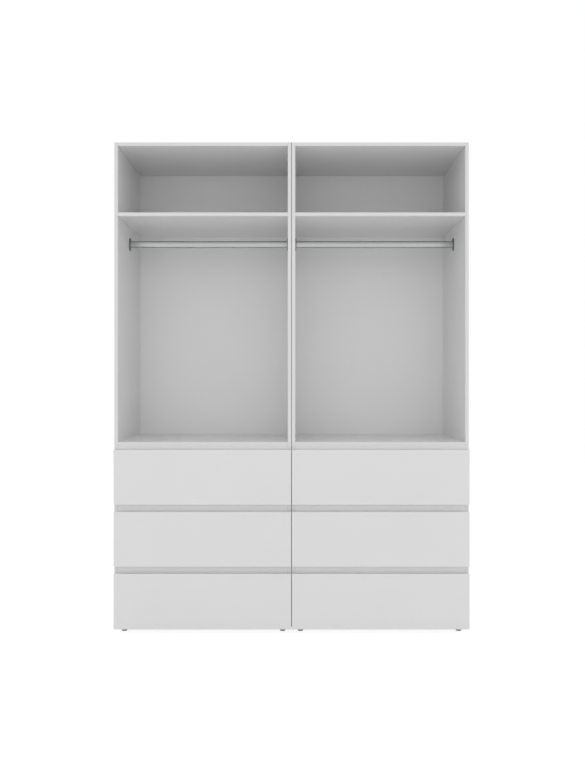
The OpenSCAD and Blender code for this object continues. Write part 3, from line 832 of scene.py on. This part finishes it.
def footShape(look):
    pad, edge, neck = look["pad"], look["padRadius"], look["neckRadius"]
    neckTop, stem, top = look["neckTop"], look["stemRadius"], look["stemTop"]
    profile = [(0, 0.0008), (0.0085, 0.0008), (0.0092, 0.0), (edge - 0.0015, 0.0),
               (edge - 0.0005, 0.0004), (edge, 0.0015), (edge, pad - 0.0014),
               (edge - 0.0004, pad - 0.0004), (edge - 0.0014, pad), (neck, pad),
               (neck, pad + 0.0006), (neck, neckTop - 0.001), (neck - 0.001, neckTop),
               (stem, neckTop)]
    profile += ridges(neckTop + 0.0005, top - 0.001, look["threadTurns"],
                      stem - look["threadDepth"], stem)
    profile += [(stem - 0.0012, top), (0, top)]
    shape = spunShape(profile, look["steps"])
    for vertex in shape.verts:
        turn = math.atan2(vertex.co.y, vertex.co.x)
        radius = math.hypot(vertex.co.x, vertex.co.y)
        factor = 1.0
        if pad + 0.0003 < vertex.co.z <= neckTop and radius > stem + 0.001:
            bay = (turn % (math.pi / 3)) - math.pi / 6  # the neck is a hexagon for a wrench
            factor = math.cos(math.pi / 6) / math.cos(bay)
        elif 0.001 < vertex.co.z < pad - 0.001 and radius > edge - 0.0002:
            column = round(turn / math.tau * look["steps"]) % look["fluteColumns"]
            factor = 1.0 - (look["fluteDepth"] / edge if column < look["fluteColumns"] / 2 else 0.0)
        vertex.co.x *= factor
        vertex.co.y *= factor
    bmesh.ops.recalc_face_normals(shape, faces=shape.faces)
    return shape


def dressFoot(nodeName, look):
    low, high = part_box(nodeName)
    shape = footShape(look)
    bmesh.ops.translate(shape, vec=((low.x + high.x) / 2, (low.y + high.y) / 2, low.z),
                        verts=shape.verts)
    finishPiece(shape, nodeName, "_turned", ("foot",))


for side in moduleSides:
    for corner in footCorners:
        dressFoot(f"{side}_{corner}_foot", footLook)
dressRounded("foot_sleeves", "_pressed", "zinc", sleeveLook, 30.0)
print("feet dressed")


# Runners

runnerLook = {
    "round": 0.0005,
    "segments": 2,
    "shortestEdge": 0.1,  # only the long bends
    "leastAngle": 60.0,
}

dressRounded("cabinet_runners", "_rolled", "runner", runnerLook)
for side in moduleSides:
    for level in drawerLevels:
        dressRounded(f"{side}_{level}_intermediate_runners", "_rolled", "runner", runnerLook)
print("runners dressed")


# Screws, cams and their bolts

screwLook = {
    "head": 0.0035,
    "headHeight": 0.0016,
    "shank": 0.00175,
    "pitch": 0.0016,
    "leastTurns": 4,
    "cross": (0.0009, 0.0042, 0.0012),  # width, length and depth of a bar
    "steps": 20,
}
camLook = {
    "rimRound": 0.0003,
    "rimSegments": 2,
    "rimShare": 0.97,  # how far out the edges of a rim lie, as a share of its radius
    "boltSteps": 16,
}


def screwShape(length, look):
    # a pan head with a cross, a threaded shank and a point; the head's top is at z = 0
    head, shank, under = look["head"], look["shank"], -look["headHeight"]
    turns = max(look["leastTurns"], round((length + under) / look["pitch"]))
    profile = [(0, -length), (shank * 0.5, -length + 0.001)]
    profile += ridges(-length + 0.001, under - 0.0004, turns, shank * 0.68, shank)
    profile += [(shank, under), (head, under), (head, -0.0009), (head * 0.86, -0.0003),
                (head * 0.6, 0.0), (0, 0.0)]
    return cutCross(spunShape(profile, look["steps"]), look["cross"])


def camBoltShape(look):
    # the ridged end grips the side panel, the ball head sits in the cam
    profile = [(0, -0.0465), (0.0016, -0.0465), (0.0022, -0.0459)]
    profile += ridges(-0.0456, -0.0362, 6, 0.0022, 0.003)
    profile += [(0.0025, -0.0355), (0.0025, -0.0060), (0.0018, -0.0050), (0.0018, -0.0030),
                (0.0030, -0.0028), (0.0035, -0.0022), (0.0035, -0.0008), (0.0028, -0.0002),
                (0.0018, 0.0), (0, 0.0)]
    return spunShape(profile, look["boltSteps"])


def onlySolids(source, places):
    # a copy of the source with the solids of these places alone
    spare = source.copy()  # numbers the vertices of both alike
    kept = {v.index for place in places for v in place["solid"]}
    bmesh.ops.delete(spare, geom=[v for v in spare.verts if v.index not in kept], context="VERTS")
    return spare


def addCams(shape, source, places, look):
    # the construction's cams, with their rims rounded
    cams = onlySolids(source, places)
    rims = []
    for place in solidPlaces(cams, min):
        axis, outer = place["axis"], look["rimShare"] * place["width"] / 2
        for edge in {e for v in place["solid"] for e in v.link_edges}:
            spans = [v.co - place["middle"] for v in edge.verts]
            atEnd = all(abs(abs(way[axis]) - place["length"] / 2) < 0.00005 for way in spans)
            for way in spans:
                way[axis] = 0
            if atEnd and all(way.length > outer for way in spans):
                rims.append(edge)
    bevelEdges(cams, rims, look["rimRound"], look["rimSegments"])
    addShape(shape, cams)


def dressCams(look):
    source = mergedCopy("cam_locks")
    shape = bmesh.new()
    addCams(shape, source, solidPlaces(source, min), look)
    source.free()
    finishPiece(shape, "cam_locks", "_cast", ("zinc",))


woodScrews = placesOf("wood_screws")
dressCopies("wood_screws", "_turned", "zinc", screwShape(woodScrews[0]["length"], screwLook),
            woodScrews)
dressCams(camLook)
dressCopies("cam_bolts", "_turned", "zinc", camBoltShape(camLook), placesOf("cam_bolts"))
print("screws and cams dressed")


# Dowels

dowelLook = {
    "taper": (0.001, 0.0015),  # how much narrower the ends are, and over what length
    "fluteShare": 0.93,
    "steps": 32,
}


def dressDowels(look):
    # fluted beech pins with tapered ends
    places = placesOf("dowels")
    length, radius = places[0]["length"], places[0]["width"] / 2
    inward, along = look["taper"]
    pin = spunShape([(0, 0), (radius - inward, 0), (radius, -along), (radius, -length + along),
                     (radius - inward, -length), (0, -length)], look["steps"])
    for vertex in pin.verts:
        column = round(math.atan2(vertex.co.y, vertex.co.x) / math.tau * look["steps"])
        if math.hypot(vertex.co.x, vertex.co.y) > radius - 0.0001 and column % 2:
            vertex.co.x *= look["fluteShare"]
            vertex.co.y *= look["fluteShare"]
    dressCopies("dowels", "_fluted", "beech", pin, places)


dressDowels(dowelLook)
print("dowels dressed")


# Bolts and sleeve nuts between the modules

connectorLook = {
    "headHeight": 0.0018,
    "boltRadius": 0.0025,
    "threadDepth": 0.0005,
    "threadTurns": 9,
    "nutRadius": 0.004,
    "boreRadius": 0.0026,
    "cross": (0.0018, 0.0075, 0.0013),  # width, length and depth of a bar
    "steps": 32,
}


def dressConnectors(look):
    places = placesOf("module_connectors")
    length, head, under = places[0]["length"], places[0]["width"] / 2, -look["headHeight"]
    bolt, nut, bore = look["boltRadius"], look["nutRadius"], look["boreRadius"]
    thread = ridges(-length + 0.0006, -length + 0.015, look["threadTurns"],
                    bolt - look["threadDepth"], bolt)
    boltProfile = [(0, -length), (bolt - 0.0007, -length)] + thread
    boltProfile += [(bolt, -length + 0.0155), (bolt, under)]
    nutProfile = [(0, -bore), (bore, -bore), (bore, -length), (nut - 0.0003, -length),
                  (nut, -length + 0.0004), (nut, under)]
    top = [(head, under), (head, -0.0009), (head - 0.0006, -0.0003), (head - 0.0018, 0.0), (0, 0.0)]
    shape = bmesh.new()
    for profile, isNut in ((boltProfile, False), (nutProfile, True)):
        master = cutCross(spunShape(profile + top, look["steps"]), look["cross"])
        addCopies(shape, master, [p for p in places if (p["narrow"] > (bolt + nut) / 2) == isNut])
    finishPiece(shape, "module_connectors", "_turned", ("zinc",))


dressConnectors(connectorLook)
print("module connectors dressed")


# Drawer fittings: runner members, screws, cams and bolts of each drawer

fittingLook = {  # how the solids of this node are told apart
    "memberLength": 0.2,
    "camWidth": (0.0148, 0.0152),
    "boltLength": (0.045, 0.048),
    "screwWidth": 0.0072,
}


def dressDrawerFittings(nodeName, look):
    source = mergedCopy(nodeName)
    places = solidPlaces(source)
    members = [p for p in places if p["length"] > look["memberLength"]]
    cams = [p for p in places if look["camWidth"][0] < p["length"] < look["camWidth"][1]]
    bolts = [p for p in places if look["boltLength"][0] < p["length"] < look["boltLength"][1]]
    screws = [p for p in places if p["width"] < look["screwWidth"] and p not in bolts]
    shape = bmesh.new()
    for length in sorted({round(p["length"], 4) for p in screws}):
        alike = [p for p in screws if round(p["length"], 4) == length]
        addCopies(shape, screwShape(length, screwLook), alike)
    addCopies(shape, camBoltShape(camLook), bolts)
    addCams(shape, source, cams, camLook)
    for face in shape.faces:
        face.material_index = 1
    rolled = onlySolids(source, members)
    roundEdges(rolled, runnerLook)
    addShape(shape, rolled)
    source.free()
    finishPiece(shape, nodeName, "_dressed", ("runner", "zinc"))


for side in moduleSides:
    for level in drawerLevels:
        dressDrawerFittings(f"{side}_{level}_drawer_fittings", fittingLook)
print("drawer fittings dressed")


# Wall brackets

bracketLook = {
    "thickest": 0.004,  # edges through the steel are shorter than this
    "corner": 0.005,
    "cornerSegments": 6,
    "round": 0.0003,
    "segments": 2,
    "shortestEdge": 0.0,
    "leastAngle": 60.0,
}


def dressBrackets(look):
    # the free corners of both legs are rounded off, then every sharp edge
    shape = mergedCopy("wall_brackets")
    near = 0.0001
    for solid in separateSolids(shape):
        low, high = boxOf(solid)
        corners = []
        for edge in {e for v in solid for e in v.link_edges}:
            a, b = (v.co for v in edge.verts)
            span = b - a
            outer = all(min(abs(v.x - low.x), abs(v.x - high.x)) < near for v in (a, b))
            atFoot = abs(a.y - low.y) < near and abs(span.z) > 0.001
            atTop = abs(a.z - high.z) < near and abs(span.y) > 0.001
            if outer and span.length < look["thickest"] and (atFoot or atTop):
                corners.append(edge)
        bevelEdges(shape, corners, look["corner"], look["cornerSegments"])
    roundEdges(shape, look)
    finishPiece(shape, "wall_brackets", "_bent", ("bracket",))


dressBrackets(bracketLook)
print("wall brackets dressed")


# Buffers behind the drawer fronts

bufferLook = {
    "dome": ((0.4, 0.00005), (0.68, 0.0003), (0.88, 0.0008), (0.97, 0.0014)),  # share out, depth
    "steps": 24,
    "smoothAngle": 40.0,
}


def dressBuffers(look):
    # clear domes that sit on the front edges of the sides
    places = placesOf("front_buffers", min)
    for place in places:
        place["way"] = Vector((0, -1, 0))
        place["seat"] = Vector((place["middle"].x, place["low"].y, place["middle"].z))
    height, radius = places[0]["length"], places[0]["width"] / 2
    profile = [(0, 0)] + [(radius * share, -depth) for share, depth in look["dome"]]
    profile += [(radius, -height), (0, -height)]
    dressCopies("front_buffers", "_domed", "buffer", spunShape(profile, look["steps"]), places,
                look["smoothAngle"])


dressBuffers(bufferLook)
print("buffers dressed")


# Felt strips between the modules, coloured nearly black as painted shade for the dark gap there

stripLook = {
    "round": 0.0002,
    "segments": 1,
    "shortestEdge": 0.1,
    "leastAngle": 60.0,
}

dressRounded("gap_strips", "_felt", "felt", stripLook)
print("gap strips dressed")


# Floor, light and background

studioLook = {
    "floorSize": 14.0,
    "floorAlbedo": 0.95,
    "floorShade": 0.25,
    "floorGlow": 0.89,
    "worldStrength": 0.865,
    "lampPower": 4.5,
    "lampSize": (3.2, 2.2),
    "lampPlace": (0.0, -3.1, 1.2),
}


def splitByCamera(tree, lit, shown, outputKind):
    # the first shader lights the part, the second is what the camera sees, also in a mirror or
    # through glass
    path = tree.nodes.new("ShaderNodeLightPath").outputs
    seen = calculate(tree, "MAXIMUM", path["Is Camera Ray"], path["Is Glossy Ray"])
    seen = calculate(tree, "MAXIMUM", seen, path["Is Transmission Ray"])
    choice = tree.nodes.new("ShaderNodeMixShader")
    for source, socket in zip((seen, lit.outputs[0], shown.outputs[0]), choice.inputs):
        tree.links.new(source, socket)
    output = tree.nodes.new(outputKind)
    tree.links.new(choice.outputs[0], output.inputs["Surface"])


def addFloor(look):
    shape = bmesh.new()
    bmesh.ops.create_grid(shape, x_segments=4, y_segments=4, size=look["floorSize"] / 2)
    floor = addObject("studio_floor", meshOf(shape, "studio_floor"))
    material = bpy.data.materials.new("paleFloor")
    material.use_nodes = True
    tree = material.node_tree
    tree.nodes.clear()
    plain = addNode(tree, "ShaderNodeBsdfDiffuse", Color=grey(look["floorAlbedo"]))
    shade = addNode(tree, "ShaderNodeBsdfDiffuse", Color=grey(look["floorShade"]))
    glow = addNode(tree, "ShaderNodeEmission", Color=grey(1.0), Strength=look["floorGlow"])
    bright = tree.nodes.new("ShaderNodeAddShader")
    tree.links.new(shade.outputs[0], bright.inputs[0])
    tree.links.new(glow.outputs[0], bright.inputs[1])
    splitByCamera(tree, plain, bright, "ShaderNodeOutputMaterial")
    floor.data.materials.append(material)


def addWorld(look):
    world = bpy.data.worlds.new("studio")
    bpy.context.scene.world = world
    world.use_nodes = True
    tree = world.node_tree
    tree.nodes.clear()
    light = addNode(tree, "ShaderNodeBackground", Color=grey(1.0), Strength=look["worldStrength"])
    white = addNode(tree, "ShaderNodeBackground", Color=grey(1.0), Strength=1.0)
    splitByCamera(tree, light, white, "ShaderNodeOutputWorld")


def addLamp(look):
    # one weak broad panel in front, tall enough to reach over and under the shelves
    data = bpy.data.lights.new("front_panel", "AREA")
    data.shape = "RECTANGLE"
    data.size, data.size_y = look["lampSize"]
    data.energy = look["lampPower"]
    lamp = addObject("front_panel", data)
    lamp.location = look["lampPlace"]
    lamp.rotation_euler = (math.radians(90), 0, 0)  # shines along +Y
    lamp.visible_camera = False


addFloor(studioLook)
addWorld(studioLook)
addLamp(studioLook)
bpy.context.scene.view_settings.view_transform = "Standard"
print("studio ready")
